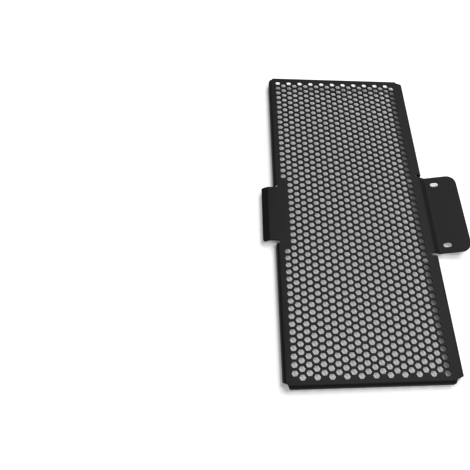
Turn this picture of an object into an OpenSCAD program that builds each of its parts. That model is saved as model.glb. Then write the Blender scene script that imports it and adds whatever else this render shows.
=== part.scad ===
// Radiator guard for a motorcycle: one aluminium sheet, cut and folded as one piece.
//
// Its flat face is perforated with a honeycomb of hexagonal holes. All four edges are folded
// down into shallow flanges, with the corners notched. A tab with a drooping lip hooks on at the
// left, and a wide joggled tab with two slots bolts on at the right. Relief cuts part each tab
// from the flanges beside it.
//
// Millimetres. X runs across the guard, Y along it and Z up, out of its face. It lies face up on
// the lower edges of its side flanges. The origin is the centre of its whole outline at that level.

/* [Sheet] */
// Thickness of the sheet
sheet_t = 1.5; // [1:0.1:2]
// Inside radius of every fold
fold_r = 1.2; // [0.8:0.1:1.8]

/* [Panel] */
// Width over the outer faces of the two side flanges
panel_w = 142.2; // [110:0.2:180]
// Length over the outer faces of the two end flanges
panel_l = 322.8; // [220:0.2:380]
// Height of the side flanges, from lower edge to face
side_h = 8.6; // [8:0.1:14]
// Height of the end flanges, from lower edge to face
end_h = 5.4; // [4.5:0.1:7.8]

/* [Holes] */
// Distance between the centres of neighbouring holes
hole_pitch = 9.6; // [9:0.1:14]
// Width of a hole across its flats
hole_w = 6.8; // [4:0.1:8]
// Rim from the left flange's outer face to the first column of hole centres
left_rim = 9.3; // [8:0.1:20]
// Least rim from the right flange's outer face to the last column of hole centres
right_rim = 12.2; // [11:0.1:20]
// Least rim from an end flange's outer face to the nearest hole centres
end_rim = 7.5; // [7:0.1:20]
// Strip behind the left tab that has no hole centres, from the left flange's outer face
blank_w = 12; // [4:0.5:30]
// How far that strip runs past the left tab's edges
blank_past = 8; // [0:0.5:20]

/* [Relief cuts and corners] */
// Width of the relief cut beside each edge of a tab
relief_w = 2.8; // [1.5:0.1:4]
// How far the cuts on the left run in past the fold line
left_past = 0.6; // [0.4:0.1:2]
// How far the cuts on the right run in past the fold line
right_past = 3.6; // [2.5:0.1:5]
// How far the corner notches run in past the fold lines of the end flanges
end_past = 0.3; // [0.1:0.1:1]
// Slope of the side flanges' ends at the corners, in degrees
side_slope = 20; // [0:1:30]
// Slope of the end flanges' ends at the corners, in degrees
end_slope = 15; // [0:1:30]

/* [Tabs] */
// Place of both tabs along the guard, from its middle
tab_y = -5.9; // [-30:0.1:30]
// Width of the left tab
left_tab_w = 56; // [20:0.5:100]
// Reach of the left tab from the flange's outer face to the corner of its lip
left_tab_l = 5.9; // [4:0.1:20]
// Length of the lip from that corner to its edge
lip_l = 6.3; // [4:0.1:15]
// Droop of the lip, in degrees
lip_angle = 27; // [5:1:60]
// Radius of the lip's two corners
lip_corner_r = 2; // [0.5:0.1:3.5]
// Distance from the flange's outer face in to the corner where the right tab turns down
riser_in = 2.9; // [2.5:0.1:3.5]
// Drop of the right tab below the face at its lowest corner
riser_drop = 2.5; // [1.5:0.1:4]
// Slope of the stretch that goes down, in degrees
riser_angle = 24; // [15:1:40]
// Slope of the plate that comes up again, in degrees
plate_angle = 12; // [0:1:20]
// Length of the plate from the lowest corner to its edge
plate_l = 28.8; // [24:0.1:45]
// Radius of the plate's two corners
plate_corner_r = 9; // [2:0.5:15]

/* [Slots] */
// Length of each slot, across the tab
slot_l = 9.4; // [6:0.1:14]
// Width of each slot, for a 5 mm bolt
slot_w = 5.5; // [4.2:0.1:6.6]
// Distance between the centres of the two slots
slot_spacing = 65.5; // [40:0.5:100]
// Distance from each slot's centre to the edge of the right tab beside it
slot_edge = 8.15; // [6:0.05:15]
// Distance from the lowest corner to the centres of the slots, along the plate
slot_in = 8.4; // [7.5:0.1:16]

/* [Hidden] */
$fn = 48;

// Outside radius of every fold
fold_out = fold_r + sheet_t;
// Past every edge, for cuts that have to run clear
clear = 2 * fold_out;
// Steps that the arc of a tab's fold is drawn in
fold_steps = 6;
// How far the outline of a tab's end lies outside the tab's sides
outline_over = 0.002;

// The holes stand in columns, which lie as in a honeycomb
column_step = hole_pitch * sqrt(3) / 2;
columns = floor((panel_w - left_rim - right_rim) / column_step) + 1;
rows = floor((panel_l - 2 * end_rim) / hole_pitch - 0.5) + 1;
hole_r = hole_w / sqrt(3);

// The right tab is as wide as its two slots need
right_tab_w = slot_spacing + 2 * slot_edge;

// Lengths are held to a thousandth of a millimetre
function held(x) = round(1000 * x) / 1000;

// Corner radius of a relief cut, and the root of the tab beside it, in from the flange's outer face.
// The root lies just outside the corners.
root_step = 0.1;
function relief_r(past) = held(min(0.6 * past, 0.45 * relief_w));
function root_in(past) = fold_out + past - relief_r(past) - root_step;
left_root = root_in(left_past);
right_root = root_in(right_past);

// Straight legs of each tab between its folds, worked out from the corners they would have unrounded
function setback(turn) = (turn < 0 ? fold_out : fold_r) * tan(abs(turn) / 2);
left_turns = [-lip_angle];
left_legs = [
    held(left_root + left_tab_l - setback(left_turns[0])),
    held(lip_l - setback(left_turns[0]))
];
right_turns = [-riser_angle, riser_angle + plate_angle];
right_legs = [
    held(right_root - riser_in - setback(right_turns[0])),
    held(riser_drop / sin(riser_angle) - setback(right_turns[0]) - setback(right_turns[1])),
    held(plate_l - setback(right_turns[1]))
];

// How far each tab reaches past the flange's outer face, which puts the origin in the middle
left_reach = left_tab_l + lip_l * cos(lip_angle);
right_reach = riser_drop / tan(riser_angle) - riser_in + plate_l * cos(plate_angle)
    + sheet_t * sin(plate_angle);
panel_x = held((left_reach - right_reach) / 2);

// Centre of the fold after a leg, below the sheet where it turns down and above it where it turns up
function fold_centre(start, leg, turn) =
    let (r = turn < 0 ? fold_out : -fold_r, a = start[2])
    [start[0] + leg * cos(a) + r * sin(a), start[1] + leg * sin(a) - r * cos(a)];

// Point of that fold at a depth below the sheet's upper side, and at a heading
function fold_point(centre, turn, depth, heading) =
    let (r = (turn < 0 ? fold_out : -fold_r) - depth)
    [centre[0] - r * sin(heading), centre[1] + r * cos(heading)];

// Where the next leg starts, as [x, y, heading]
function next_start(start, leg, turn) =
    concat(fold_point(fold_centre(start, leg, turn), turn, 0, start[2] + turn), start[2] + turn);

// Starts of all the legs of a section, which has a fold between each two
function leg_starts(legs, turns, start = [0, 0, 0], i = 0) =
    i == len(turns)
        ? [start]
        : concat([start], leg_starts(legs, turns, next_start(start, legs[i], turns[i]), i + 1));

// Line along the whole section at a depth below the sheet's upper side
function section_line(legs, turns, depth) =
    let (starts = leg_starts(legs, turns), n = len(turns), end = starts[n])
    [
        [0, -depth],
        for (i = [0 : n - 1], k = [0 : fold_steps])
            fold_point(fold_centre(starts[i], legs[i], turns[i]), turns[i], depth,
                starts[i][2] + turns[i] * k / fold_steps),
        [
            end[0] + legs[n] * cos(end[2]) + depth * sin(end[2]),
            end[1] + legs[n] * sin(end[2]) - depth * cos(end[2])
        ]
    ];

// Section of the sheet along straight legs, with its upper side at the start on the X axis.
// A positive turn folds it up.
module section(legs, turns) {
    under = section_line(legs, turns, sheet_t);
    polygon(concat(
        section_line(legs, turns, 0),
        [for (i = [len(under) - 1 : -1 : 0]) under[i]]
    ));
}

// Strip of sheet folded along that section, with its end cut to an outline drawn flat on the last
// leg. The outline's sides lie just outside the strip's own.
module folded_strip(legs, turns, width) {
    n = len(turns);
    start = leg_starts(legs, turns)[n];
    intersection() {
        rotate([90, 0, 0])
            linear_extrude(width, center = true)
                section([for (i = [0 : n]) legs[i] + (i == n ? clear : 0)], turns);
        translate([start[0], 0, start[1]])
            rotate([0, -start[2], 0])
                linear_extrude(2 * plate_l, center = true)
                    children();
    }
}

// Rectangle that runs back from its far end, which has rounded corners
module rounded_end(length, width, r, back = 0) {
    translate([-back, r - width / 2])
        square([back + length, width - 2 * r]);
    translate([-back, -width / 2])
        square([back + length - r, width]);
    for (s = [-1, 1])
        translate([length - r, s * (width / 2 - r)])
            circle(r);
}

module slot_shape() {
    straight = slot_l - slot_w;
    square([straight, slot_w], center = true);
    for (s = [-1, 1])
        translate([s * straight / 2, 0])
            circle(d = slot_w);
}

// Honeycomb of hexagons, point to point across the guard, in alternate columns half a pitch apart
module holes() {
    for (column = [0 : columns - 1], row = [0 : rows - 1]) {
        shift = column % 2 == 0 ? 0.25 : -0.25;
        rim = left_rim + column * column_step;
        y = (row - (rows - 1) / 2 + shift) * hole_pitch;
        behind_tab = rim < blank_w && abs(y - tab_y) < left_tab_w / 2 + blank_past;
        if (!behind_tab)
            translate([rim - panel_w / 2, y])
                circle(hole_r, $fn = 6);
    }
}

// Room for a tab in the right edge, with a relief cut at each of its sides
module tab_bay(tab_w, past) {
    translate([panel_w / 2 - root_in(past), tab_y - tab_w / 2])
        square([root_in(past) + clear, tab_w]);
    for (s = [-1, 1])
        translate([panel_w / 2, tab_y + s * (tab_w + relief_w) / 2])
            mirror([1, 0])
                rounded_end(fold_out + past, relief_w, relief_r(past), clear);
}

// Points of the face's notched corner at the upper right: on the side's fold line, at the bottom
// of the notch and on the end's fold line
function corner(past) =
    let (x = panel_w / 2 - fold_out, y = panel_l / 2 - fold_out)
    [
        [x, held(y - end_past - tan(side_slope) * past)],
        [x - past, y - end_past],
        [held(x - past - tan(end_slope) * end_past), y]
    ];

// Flat face between the fold lines
module face() {
    right = corner(right_past);
    left = corner(left_past);
    translate([0, 0, side_h - sheet_t])
        linear_extrude(sheet_t)
            difference() {
                polygon(concat(
                    [for (i = [0 : 2]) right[i]],
                    [for (i = [2 : -1 : 0]) [-left[i][0], left[i][1]]],
                    [for (i = [0 : 2]) -left[i]],
                    [for (i = [2 : -1 : 0]) [right[i][0], -right[i][1]]]
                ));
                tab_bay(right_tab_w, right_past);
                mirror([1, 0])
                    tab_bay(left_tab_w, left_past);
                holes();
            }
}

// Square flange down from a fold line on the Y axis, cut to an outline in its own plane, where X
// runs along the fold line and Y down from the face's upper side
module flange(height, length) {
    drop = height - fold_out;
    intersection() {
        rotate([90, 0, 0])
            linear_extrude(2 * length, center = true) {
                translate([0, -fold_out])
                    intersection() {
                        difference() {
                            circle(fold_out);
                            circle(fold_r);
                        }
                        square(fold_out);
                    }
                translate([fold_r, -height])
                    square([sheet_t, drop]);
            }
        rotate([-90, 0, -90])
            linear_extrude(clear)
                children();
    }
}

// Outline of a flange's one half, from a middle edge to an end that slopes away from the notch
module flange_half(from, to, height, slope) {
    fold_slope = tan(slope) * PI / 2 * fold_out;
    polygon([
        [from, 0],
        [to, 0],
        [to - fold_slope, fold_out],
        [to - fold_slope - tan(slope) * (height - fold_out), height],
        [from, height]
    ]);
}

// Flange along one side, left open for the tab and its relief cuts
module side_flange(past, tab_w) {
    end = corner(past)[0][1];
    room = tab_w / 2 + relief_w;
    translate([panel_w / 2 - fold_out, 0, side_h])
        flange(side_h, panel_l) {
            flange_half(room + tab_y, end, side_h, side_slope);
            mirror([1, 0])
                flange_half(room - tab_y, end, side_h, side_slope);
        }
}

// Flange along one end
module end_flange() {
    translate([0, panel_l / 2 - fold_out, side_h])
        rotate([0, 0, 90])
            flange(end_h, panel_w) {
                flange_half(0, corner(left_past)[2][0], end_h, end_slope);
                mirror([1, 0])
                    flange_half(0, corner(right_past)[2][0], end_h, end_slope);
            }
}

// Tab that droops to a lip
module left_tab() {
    translate([panel_w / 2 - left_root, tab_y, side_h])
        folded_strip(left_legs, left_turns, left_tab_w)
            rounded_end(left_legs[1], left_tab_w + 2 * outline_over, lip_corner_r, plate_l);
}

// Tab that turns down and then up again to a slotted plate
module right_tab() {
    translate([panel_w / 2 - right_root, tab_y, side_h])
        folded_strip(right_legs, right_turns, right_tab_w)
            difference() {
                rounded_end(right_legs[2], right_tab_w + 2 * outline_over, plate_corner_r, plate_l);
                for (s = [-1, 1])
                    translate([slot_in - setback(right_turns[1]), s * slot_spacing / 2])
                        slot_shape();
            }
}

module guard() {
    color("#2b2b2d")
        translate([panel_x, 0, 0]) {
            face();
            side_flange(right_past, right_tab_w);
            mirror([1, 0, 0])
                side_flange(left_past, left_tab_w);
            end_flange();
            mirror([0, 1, 0])
                end_flange();
            right_tab();
            mirror([1, 0, 0])
                left_tab();
        }
}

guard();
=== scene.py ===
"""Looks of a radiator guard: one perforated sheet with folded edges, in satin black powder coat.

The sheet is worked out as a flat blank, as it was cut, and then every point of the blank is carried
through the folds. Lengths are in millimetres until a mesh is made.
"""

import bpy
import numpy as np
from mathutils import Matrix, Vector, geometry


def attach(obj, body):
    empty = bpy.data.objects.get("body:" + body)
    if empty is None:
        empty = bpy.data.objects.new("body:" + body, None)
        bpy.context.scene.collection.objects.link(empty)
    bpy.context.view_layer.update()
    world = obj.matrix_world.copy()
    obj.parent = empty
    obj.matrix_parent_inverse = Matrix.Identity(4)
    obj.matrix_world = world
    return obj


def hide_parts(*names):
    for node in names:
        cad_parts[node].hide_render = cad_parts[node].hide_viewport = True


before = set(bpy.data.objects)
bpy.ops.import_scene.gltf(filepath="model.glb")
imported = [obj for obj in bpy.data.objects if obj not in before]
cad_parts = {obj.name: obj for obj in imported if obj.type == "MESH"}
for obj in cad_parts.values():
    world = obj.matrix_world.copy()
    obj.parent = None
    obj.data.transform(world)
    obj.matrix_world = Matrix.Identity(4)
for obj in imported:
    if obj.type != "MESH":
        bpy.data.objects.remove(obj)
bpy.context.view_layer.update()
MM = 0.001

# Sheet: its thickness, its folds' inside and outside radius, the panel over its flanges, the
# flanges' heights and where the panel's middle lies across the guard
SHEET_T = 1.5
FOLD_R = 1.2
FOLD_OUT = FOLD_R + SHEET_T
PANEL_W, PANEL_L = 142.2, 322.8
SIDE_H, END_H = 8.6, 5.4
PANEL_X = -9.842

# Honeycomb of holes: their pitch, width across the flats, number, distance from the panel's left
# edge to the first column, the blank strip behind the left tab and the rounding of their corners
PITCH, HOLE_W = 6.6, 4.7
COLUMNS, ROWS = 22, 47
LEFT_RIM = 9.3
BLANK_W, BLANK_PAST = 12.0, 8.0
HOLE_CORNER = 0.2

# Relief cuts: their width, and their corners' radius as a share of how far the cut runs and, at
# most, of its width. How far they and the corner notches run past the fold lines, and the slopes
# of the flanges' ends
RELIEF_W, ROUND_OF_DEPTH, ROUND_OF_WIDTH = 2.8, 0.6, 0.45
LEFT_PAST, RIGHT_PAST, END_PAST = 0.6, 3.6, 0.3
SIDE_SLOPE, END_SLOPE = np.tan(np.radians(20)), np.tan(np.radians(15))

# Tabs and slots. A tab's width is its size along the guard. The slots' middles lie SLOT_IN from
# the unrounded corner between riser and plate
TAB_Y = -5.9
LEFT_TAB_W, LEFT_TAB_L, LIP_L, LIP_TURN, LIP_CORNER = 56.0, 5.9, 6.3, -27.0, 2.0
RIGHT_TAB_W, RISER_IN, RISER_DROP, RISER_TURN, PLATE_TILT = 81.8, 2.9, 2.5, -24.0, 12.0
PLATE_L, PLATE_CORNER = 28.8, 9.0
SLOT_L, SLOT_W, SLOT_SPACING, SLOT_IN = 7.5, 4.8, 65.5, 8.2

# Cut edges, softened by the coat: on the face's side and underneath
EDGE_R, UNDER_R = 0.28, 0.16

# Degrees of a fold between two rows of points, and the least angle of an edge that looks sharp
FOLD_STEP, SHARP = 7.5, 16

# Darkest and palest colour of the coat
COAT_DARK, COAT_PALE = (0.0045, 0.0045, 0.0048, 1), (0.0095, 0.0095, 0.0100, 1)

# Painted light that the floor gives off to the camera alone: little under the face, which leaves
# painted shade on the floor seen through the holes, more beside it, which pales the guard's shadow
# there, and most far away
FLOOR_PAINTED_LIGHT = 0.04, 0.3, 0.82

# Where that light starts and ends to change: outwards from the panel's edges, and from the origin
FADE_ACROSS, FADE_ALONG, FADE_FAR = (-4, 6), (-12, 2), (0, 1000)

FOLD_X = PANEL_W / 2 - FOLD_OUT
FOLD_Y = PANEL_L / 2 - FOLD_OUT


def relief_r(past):
    """Corner radius of a relief cut that runs a distance past the fold line."""
    return min(ROUND_OF_DEPTH * past, ROUND_OF_WIDTH * RELIEF_W)


def setback(turn):
    """Distance from a fold's unrounded corner back to where its arc starts, on the upper side."""
    return (FOLD_OUT if turn < 0 else FOLD_R) * np.tan(np.radians(abs(turn)) / 2)


class Strip:
    """Part of the sheet that leaves the face across a line: straight legs, with a fold after each
    leg but the last. A negative turn folds it down."""

    def __init__(self, start, legs, turns):
        self.start, self.legs, self.turns = start, legs, [np.radians(t) for t in turns]
        self.arcs = [abs(t) * (FOLD_OUT if t < 0 else FOLD_R) for t in self.turns]
        self.reach = start + sum(legs) + sum(self.arcs)

    def stations(self, step):
        """Flat distances at which a fold's arc starts, passes each step and ends."""
        found, at = [], self.start
        for leg, turn, arc in zip(self.legs, self.turns, self.arcs):
            at += leg
            found.append(at + arc * np.linspace(0, 1, int(np.ceil(abs(turn) / step)) + 1))
            at += arc
        return np.concatenate(found)

    def folded(self, flat, depth):
        """Distance out and height below or above the face of each point of the blank.

        With s the flat distance from where a leg or a fold starts, at p with the heading a, a leg
        gives p + s (cos a, sin a) + depth (sin a, -cos a). A fold of radius R on the upper side
        has its centre at c = p + R (sin a, -cos a) and gives
        c + (R - depth) (-sin(a - s / R), cos(a - s / R)). R is negative where the fold goes up.
        """
        out, up = flat.astype(float), -depth * np.ones_like(flat)
        s = flat - self.start
        px, pz, heading = self.start, 0.0, 0.0
        for i, leg in enumerate(self.legs):
            on = s >= 0
            out = np.where(on, px + s * np.cos(heading) + depth * np.sin(heading), out)
            up = np.where(on, pz + s * np.sin(heading) - depth * np.cos(heading), up)
            if i == len(self.turns):
                break
            px, pz, s = px + leg * np.cos(heading), pz + leg * np.sin(heading), s - leg
            radius = FOLD_OUT if self.turns[i] < 0 else -FOLD_R
            cx, cz = px + radius * np.sin(heading), pz - radius * np.cos(heading)
            on, angle = s >= 0, heading - s / radius
            out = np.where(on, cx - (radius - depth) * np.sin(angle), out)
            up = np.where(on, cz + (radius - depth) * np.cos(angle), up)
            heading, s = heading + self.turns[i], s - self.arcs[i]
            px, pz = cx - radius * np.sin(heading), cz + radius * np.cos(heading)
        return out, up


def tab(past, reach, corner_turns, lengths):
    """Strip of a tab: its root lies outside the relief cuts' corners, its first leg runs on to the
    first fold, and each length is taken between unrounded corners."""
    root = PANEL_W / 2 - (FOLD_OUT + past - relief_r(past))
    back = [setback(t) for t in corner_turns]
    legs = [PANEL_W / 2 + reach - root - back[0]]
    legs += [n - back[i] - (back[i + 1] if i + 1 < len(back) else 0) for i, n in enumerate(lengths)]
    return Strip(root, legs, corner_turns)


LEFT_TAB = tab(LEFT_PAST, LEFT_TAB_L, [LIP_TURN], [LIP_L])
RIGHT_TAB = tab(RIGHT_PAST, -RISER_IN, [RISER_TURN, PLATE_TILT - RISER_TURN],
                [RISER_DROP / np.sin(np.radians(-RISER_TURN)), PLATE_L])
SIDE = Strip(FOLD_X, [0.0, SIDE_H - FOLD_OUT], [-90.0])
END = Strip(FOLD_Y, [0.0, END_H - FOLD_OUT], [-90.0])


def round_corner(centre, radius, start, end, points=7):
    """Arc about a centre from one angle to another, in degrees."""
    a = np.radians(np.linspace(start, end, points))
    return np.c_[centre[0] + radius * np.cos(a), centre[1] + radius * np.sin(a)]


def side_outline(past, tab_w, strip, corner):
    """Right-hand edge of the blank from its lower corner to its upper one: flange, relief cut,
    tab, relief cut and flange."""
    outer = SIDE.reach
    fall = SIDE_SLOPE * (outer - FOLD_X)
    end = FOLD_Y - END_PAST - SIDE_SLOPE * past
    r, bottom = relief_r(past), FOLD_X - past
    lower, upper = TAB_Y - tab_w / 2, TAB_Y + tab_w / 2
    far = strip.reach
    return np.vstack([
        [[FOLD_X, -end], [outer, -end + fall], [outer, lower - RELIEF_W]],
        round_corner((bottom + r, lower - RELIEF_W + r), r, 270, 180, 6),
        round_corner((bottom + r, lower - r), r, 180, 90, 6),
        round_corner((far - corner, lower + corner), corner, 270, 360),
        round_corner((far - corner, upper - corner), corner, 0, 90),
        round_corner((bottom + r, upper + r), r, 270, 180, 6),
        round_corner((bottom + r, upper + RELIEF_W - r), r, 180, 90, 6),
        [[outer, upper + RELIEF_W], [outer, end - fall], [FOLD_X, end]],
    ])


def corner_outline(past):
    """Notch at the upper right corner and the end flange's sloped end beside it."""
    x, fall = FOLD_X - past, END_SLOPE * END_PAST
    return np.array([
        [x, FOLD_Y - END_PAST],
        [x - fall, FOLD_Y],
        [x - fall - END_SLOPE * (END.reach - FOLD_Y), END.reach],
    ])


def blank_outline():
    """Whole outline of the blank, anticlockwise: the right edge, its upper corner, the left
    edge's upper corner and the left edge, each mirrored from the right-hand form, and the lower
    corners."""
    right = side_outline(RIGHT_PAST, RIGHT_TAB_W, RIGHT_TAB, PLATE_CORNER)
    left = side_outline(LEFT_PAST, LEFT_TAB_W, LEFT_TAB, LIP_CORNER)
    right_corner, left_corner = corner_outline(RIGHT_PAST), corner_outline(LEFT_PAST)
    flip_x, flip_y = np.array([-1, 1]), np.array([1, -1])
    return np.vstack([
        right,
        right_corner,
        (left_corner * flip_x)[::-1],
        (left * flip_x)[::-1],
        -left_corner,
        (right_corner * flip_y)[::-1],
    ])


def hole_outlines():
    """Hexagons point to point across the guard, in columns of which every other one is half a pitch
    lower, as an array of holes by corners. Each corner is cut short twice, to round it."""
    column, row = np.meshgrid(np.arange(COLUMNS), np.arange(ROWS), indexing="ij")
    rim = LEFT_RIM + column * PITCH * np.sqrt(3) / 2
    shift = np.where(column % 2 == 0, 0.25, -0.25)
    y = (row - (ROWS - 1) / 2 + shift) * PITCH
    kept = ~((rim < BLANK_W) & (np.abs(y - TAB_Y) < LEFT_TAB_W / 2 + BLANK_PAST))
    centres = np.stack([rim - PANEL_W / 2, y], -1)[kept]
    angle = np.radians(60 * np.arange(6))
    corners = HOLE_W / np.sqrt(3) * np.c_[np.cos(angle), np.sin(angle)]
    side = (np.roll(corners, -1, 0) - corners) / (HOLE_W / np.sqrt(3))
    loop = np.stack([corners - HOLE_CORNER * np.roll(side, 1, 0), corners + HOLE_CORNER * side], 1)
    return centres[:, None, :] + loop.reshape(1, 12, 2)


def slot_outlines():
    """The two slots in the plate, each a straight stretch with a half circle at both ends."""
    flat = RIGHT_TAB.start + sum(RIGHT_TAB.legs[:2]) + sum(RIGHT_TAB.arcs) + SLOT_IN
    flat -= setback(PLATE_TILT - RISER_TURN)
    half = (SLOT_L - SLOT_W) / 2
    loop = np.vstack([
        round_corner((half, 0), SLOT_W / 2, -90, 90, 13),
        round_corner((-half, 0), SLOT_W / 2, 90, 270, 13),
    ])
    y = TAB_Y + np.array([-1, 1]) * SLOT_SPACING / 2
    return np.stack([loop + [flat, at] for at in y])


def fold_lines():
    """Pairs of points on the blank between which the folds' arcs are divided."""
    step = np.radians(FOLD_STEP)
    lines = []
    for side, strip, past, tab_w in (
        (1, RIGHT_TAB, RIGHT_PAST, RIGHT_TAB_W),
        (-1, LEFT_TAB, LEFT_PAST, LEFT_TAB_W),
    ):
        lower, upper = TAB_Y - tab_w / 2, TAB_Y + tab_w / 2
        end = FOLD_Y - END_PAST - SIDE_SLOPE * past
        for x in SIDE.stations(step):
            fall = SIDE_SLOPE * (x - FOLD_X)
            lines.append([[side * x, fall - end], [side * x, lower - RELIEF_W]])
            lines.append([[side * x, upper + RELIEF_W], [side * x, end - fall]])
        lines += [[[side * x, lower], [side * x, upper]] for x in strip.stations(step)]
    for y in END.stations(step):
        fall = END_SLOPE * (END_PAST + y - FOLD_Y)
        left, right = FOLD_X - LEFT_PAST - fall, FOLD_X - RIGHT_PAST - fall
        lines += [[[-left, s * y], [right, s * y]] for s in (-1, 1)]
    return np.array(lines)


def cut_blank():
    """Triangles of the blank between its outline and its holes, divided along the fold lines."""
    outline, lines = blank_outline(), fold_lines()
    loops = [outline, *hole_outlines(), *slot_outlines()]
    first = np.cumsum([0] + [len(loop) for loop in loops])
    faces = [list(range(a, b)) for a, b in zip(first[:-1], first[1:])]
    points = np.vstack([*loops, lines.reshape(-1, 2)])
    edges = (first[-1] + np.arange(2 * len(lines))).reshape(-1, 2)
    inside_only, merged_within = 1, 1e-5
    flat, _, triangles, _, _, loops_around = geometry.delaunay_2d_cdt(
        [Vector(p) for p in points], edges.tolist(), faces, inside_only, merged_within, True
    )
    # Sheet lies inside loop 0 alone, which is the outline, and a hole inside its own loop too
    in_sheet = [tri for tri, around in zip(triangles, loops_around) if around == [0]]
    return np.array([tuple(p) for p in flat]), np.array(in_sheet)


def rims(flat, triangles):
    """Boundary of the blank as pairs of points with the sheet on the left, and for each point the
    way in from the edge: (n + m) / (1 + n . m) for the inward normals n and m of its two edges.
    A floor under 1 + n . m keeps it short at a sharp point."""
    half = np.vstack([triangles[:, [0, 1]], triangles[:, [1, 2]], triangles[:, [2, 0]]])
    code = half[:, 0] * len(flat) + half[:, 1]
    back = half[:, 1] * len(flat) + half[:, 0]
    rim = half[~np.isin(code, back)]
    along = flat[rim[:, 1]] - flat[rim[:, 0]]
    along /= np.linalg.norm(along, axis=1)[:, None]
    normal = np.c_[-along[:, 1], along[:, 0]]
    inward = np.zeros((2, *flat.shape))
    inward[0, rim[:, 0]], inward[1, rim[:, 1]] = normal, normal
    share = 1 + (inward[0] * inward[1]).sum(1)
    least_share = 0.3
    return rim, (inward[0] + inward[1]) / np.maximum(share, least_share)[:, None]


def carried(flat, depth):
    """Place in space of each point of the blank at a depth below the sheet's upper side: the side
    flanges and tabs turn about lines along the guard, and the end flanges about lines across it."""
    x, y = np.abs(flat[:, 0]), flat[:, 1]
    up = -depth * np.ones(len(flat))
    out = x.copy()
    right = flat[:, 0] > 0
    for strip, side, tab_w in ((RIGHT_TAB, right, RIGHT_TAB_W), (LEFT_TAB, ~right, LEFT_TAB_W)):
        on_tab = np.abs(y - TAB_Y) < tab_w / 2 + RELIEF_W / 2
        for form, on in ((strip, side & on_tab), (SIDE, side & ~on_tab)):
            on = on & (x > form.start)
            fx, fz = form.folded(x, depth)
            out, up = np.where(on, fx, out), np.where(on, fz, up)
    ends = np.abs(y) > FOLD_Y
    fy, fz = END.folded(np.abs(y), depth)
    y = np.where(ends, np.sign(y) * fy, y)
    up = np.where(ends, fz, up)
    return np.c_[np.where(right, out, -out) + PANEL_X, y, SIDE_H + up]


def used_points(points, faces):
    """Points and faces without the points that no face uses, which are the inner points of the
    middle layers. The rest are numbered anew by how many points before them are used."""
    used = np.zeros(len(points), bool)
    for part in faces:
        used[part] = True
    number = np.cumsum(used) - 1
    return points[used], [number[part] for part in faces]


def sheet_mesh():
    """Closed skin of the folded sheet. Its upper side and its underside are the blank at depths of
    0 and the sheet's thickness. Round every cut edge the two are joined by a profile that is
    carried along the edge: a quarter round, the straight cut and a small chamfer, as pairs of a
    distance in from the edge and a depth."""
    flat, triangles = cut_blank()
    rim, inward = rims(flat, triangles)
    quarter = np.radians([0, 45, 90])
    profile = [(EDGE_R * (1 - np.sin(a)), EDGE_R * (1 - np.cos(a))) for a in quarter]
    profile += [(0, SHEET_T - UNDER_R), (UNDER_R, SHEET_T)]
    layers = [carried(flat + inset * inward, depth) for inset, depth in profile]
    n = len(flat)
    faces = [triangles, triangles[:, ::-1] + (len(profile) - 1) * n]
    a, b = rim[:, 0], rim[:, 1]
    for k in range(len(profile) - 1):
        faces.append(np.c_[a + k * n, a + (k + 1) * n, b + (k + 1) * n, b + k * n])
    points, faces = used_points(np.vstack(layers), faces)
    mesh = bpy.data.meshes.new("guard_sheet")
    mesh.from_pydata((points * MM).tolist(), [], [f for part in faces for f in part.tolist()])
    mesh.polygons.foreach_set("use_smooth", np.ones(len(mesh.polygons), bool))
    mesh.set_sharp_from_angle(angle=np.radians(SHARP))
    mesh.update()
    return mesh


class Number:
    """A number that varies over a surface. Arithmetic on it adds Math nodes."""

    def __init__(self, shader, socket):
        self.shader, self.socket = shader, socket

    def _with(self, operation, first, second):
        node = self.shader.node("ShaderNodeMath", {"operation": operation}, {0: first, 1: second})
        return Number(self.shader, node.outputs[0])

    def __add__(self, other):
        return self._with("ADD", self, other)

    def __radd__(self, other):
        return self._with("ADD", other, self)

    def __sub__(self, other):
        return self._with("SUBTRACT", self, other)

    def __rsub__(self, other):
        return self._with("SUBTRACT", other, self)

    def __mul__(self, other):
        return self._with("MULTIPLY", self, other)

    def __rmul__(self, other):
        return self._with("MULTIPLY", other, self)


class Shader:
    """Node tree of one material."""

    def __init__(self, name):
        self.material = bpy.data.materials.new(name)
        self.material.use_nodes = True
        self.tree = self.material.node_tree
        self.tree.nodes.clear()

    def node(self, kind, settings=None, inputs=None):
        """Adds a node, sets it, and then sets or links its sockets by name or number."""
        node = self.tree.nodes.new(kind)
        for key, value in (settings or {}).items():
            setattr(node, key, value)
        for key, value in (inputs or {}).items():
            if isinstance(value, Number):
                value = value.socket
            if isinstance(value, bpy.types.NodeSocket):
                self.tree.links.new(value, node.inputs[key])
            else:
                node.inputs[key].default_value = value
        return node

    def number(self, kind, settings=None, inputs=None, output=0):
        """The same, with one output as a number."""
        return Number(self, self.node(kind, settings, inputs).outputs[output])

    def mix_colours(self, factor, first, second):
        """Colour socket of a mix of two colours, which sockets 6 and 7 of the node take."""
        settings = {"data_type": "RGBA"}
        node = self.node("ShaderNodeMix", settings, {"Factor": factor, 6: first, 7: second})
        return node.outputs[2]


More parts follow.
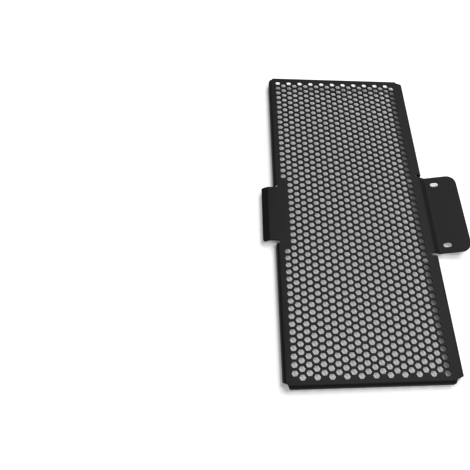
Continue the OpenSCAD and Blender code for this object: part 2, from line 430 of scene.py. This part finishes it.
def powder_coat():
    """Satin black powder coat: fine grain, a slow change of tone and sheen from spot to spot."""
    s = Shader("satin_black_powder_coat")
    place = s.node("ShaderNodeTexCoord").outputs["Object"]

    def noise(size_mm, detail):
        """Number about 0.5 that wavers over spots of a size in millimetres."""
        inputs = {"Vector": place, "Scale": 1 / (size_mm * MM), "Detail": detail, "Roughness": 0.6}
        return s.number("ShaderNodeTexNoise", None, inputs)

    cloud, mottle, grain = noise(55, 2), noise(4, 3), noise(0.7, 2)
    tone = 0.55 * cloud + 0.3 * mottle + 0.15 * grain
    colour = s.mix_colours(tone, COAT_DARK, COAT_PALE)
    sheen = 0.45 + 0.09 * cloud + 0.07 * mottle
    bump = s.node("ShaderNodeBump", None, {
        "Strength": 0.22, "Distance": 0.06 * MM, "Height": 0.7 * grain + 0.3 * mottle,
    })
    coat = s.node("ShaderNodeBsdfPrincipled", None, {
        "Base Color": colour, "Roughness": sheen, "Normal": bump.outputs[0],
        "Specular IOR Level": 0.13,
    })
    s.node("ShaderNodeOutputMaterial", None, {"Surface": coat.outputs[0]})
    return s.material


def pale_floor():
    """Matt white floor that keeps shadows. Painted light lifts what the camera sees of it to white:
    hardly under the guard's face, which leaves painted shade there, more beside it, which pales the
    shadows there, and most far off, where the lamps' light is weak."""
    s = Shader("pale_floor")
    seen = s.node("ShaderNodeLightPath").outputs["Is Camera Ray"]
    matt = s.node("ShaderNodeBsdfDiffuse", None, {"Color": (0.92, 0.92, 0.92, 1)})
    place = s.node("ShaderNodeTexCoord").outputs["Object"]

    def rise(distance, fade, edge=0):
        """Number from 0 to 1 that rises smoothly over a fade, outwards from an edge."""
        start, end = (edge + fade[0]) * MM, (edge + fade[1]) * MM
        inputs = {"Value": distance, "From Min": start, "From Max": end}
        return s.number("ShaderNodeMapRange", {"interpolation_type": "SMOOTHSTEP"}, inputs)

    centred = s.node("ShaderNodeVectorMath", {"operation": "SUBTRACT"}, {
        0: place, 1: (PANEL_X * MM, 0, 0),
    })
    sides = s.node("ShaderNodeVectorMath", {"operation": "ABSOLUTE"}, {0: centred.outputs[0]})
    split = s.node("ShaderNodeSeparateXYZ", None, {0: sides.outputs[0]})
    across, along = (Number(s, split.outputs[i]) for i in (0, 1))
    outside_x = rise(across, FADE_ACROSS, PANEL_W / 2)
    outside_y = rise(along, FADE_ALONG, PANEL_L / 2)
    inside = (1 - outside_x) * (1 - outside_y)
    away = s.number("ShaderNodeVectorMath", {"operation": "LENGTH"}, {0: place}, "Value")
    under, beside, far = FLOOR_PAINTED_LIGHT
    # Painted light seen by the camera alone: least under the face, as painted shade, more beside it
    # and most far off
    painted_light_amount = beside + (under - beside) * inside + (far - beside) * rise(away, FADE_FAR)
    lift = s.node("ShaderNodeEmission", None, {"Color": painted_light_amount})
    both = s.node("ShaderNodeAddShader", None, {0: matt.outputs[0], 1: lift.outputs[0]})
    mix = s.node("ShaderNodeMixShader", None, {0: seen, 1: matt.outputs[0], 2: both.outputs[0]})
    s.node("ShaderNodeOutputMaterial", None, {"Surface": mix.outputs[0]})
    return s.material


def add(name, data):
    """New object of the scene, at the origin."""
    obj = bpy.data.objects.new(name, data)
    bpy.context.scene.collection.objects.link(obj)
    return obj


def guard():
    """The folded sheet, in place of its plain solid."""
    piece = add("guard_sheet", sheet_mesh())
    piece.data.materials.append(powder_coat())
    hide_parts("guard")
    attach(piece, "root")


def floor():
    """Square of floor just under the guard's flanges, in metres."""
    half, level = 3.0, -0.0002
    mesh = bpy.data.meshes.new("floor")
    corners = [(-half, -half), (half, -half), (half, half), (-half, half)]
    mesh.from_pydata([(x, y, level) for x, y in corners], [], [(0, 1, 2, 3)])
    mesh.materials.append(pale_floor())
    add("floor", mesh)


def aimed(eye, target, roll=0.0):
    """Matrix of a camera or lamp at eye that looks at target, rolled by an angle in degrees."""
    ahead = (Vector(target) - Vector(eye)).normalized()
    right = ahead.cross((0, 0, 1)).normalized()
    up = right.cross(ahead)
    c, s = np.cos(np.radians(roll)), np.sin(np.radians(roll))
    x, y, z = c * right + s * up, c * up - s * right, -ahead
    columns = Matrix((x, y, z)).transposed().to_4x4()
    return Matrix.Translation(eye) @ columns


def camera():
    """Where the photograph was taken from, in metres: above the near left of the guard. The shift
    gives its framing, which is the right-hand part of a wider picture."""
    lens = bpy.data.cameras.new("camera")
    lens.lens, lens.sensor_width = 44.54, 36.0
    lens.shift_x, lens.shift_y = -0.1284, -0.0566
    lens.clip_start, lens.clip_end = 0.01, 20.0
    eye = add("camera", lens)
    eye.matrix_world = aimed((-0.1233, -0.2825, 0.4441), (-0.0626, -0.0015, 0.0086), 10.47)
    bpy.context.scene.camera = eye


def soft_box(name, at, target, size, power):
    """Round lamp of a diameter in metres and a power in watts."""
    lamp = bpy.data.lights.new(name, "AREA")
    lamp.shape, lamp.size, lamp.energy = "DISK", size, power
    add(name, lamp).matrix_world = aimed(at, target)


def lights():
    """Studio light: a broad box high up, beyond the guard and to its right, which gives most of the
    light, a small lamp on the right, which leaves the floor dark under the right-hand margin, a
    weak one at the camera's height, and a pale surround that the camera sees as white."""
    soft_box("overhead", (0.40, 0.70, 1.3), (0, 0, 0), 1.1, 14.0)
    soft_box("right", (0.59, 0.08, 0.9), (0, 0, 0), 0.2, 2.5)
    soft_box("before", (0.05, -0.143, 0.444), (0, 0, 0), 0.06, 0.55)
    world = bpy.data.worlds.new("studio")
    bpy.context.scene.world = world
    world.use_nodes = True
    tree = world.node_tree
    tree.nodes.clear()
    out = tree.nodes.new("ShaderNodeOutputWorld")
    path = tree.nodes.new("ShaderNodeLightPath")
    lit, seen, mix = (tree.nodes.new(k) for k in
                      ("ShaderNodeBackground", "ShaderNodeBackground", "ShaderNodeMixShader"))
    lit.inputs["Color"].default_value = (1, 1, 1, 1)
    lit.inputs["Strength"].default_value = 0.2
    seen.inputs["Color"].default_value = (1, 1, 1, 1)
    seen.inputs["Strength"].default_value = 1.0
    tree.links.new(path.outputs["Is Camera Ray"], mix.inputs[0])
    tree.links.new(lit.outputs[0], mix.inputs[1])
    tree.links.new(seen.outputs[0], mix.inputs[2])
    tree.links.new(mix.outputs[0], out.inputs[0])
    bpy.context.scene.view_settings.view_transform = "Standard"


camera()
lights()
floor()
guard()
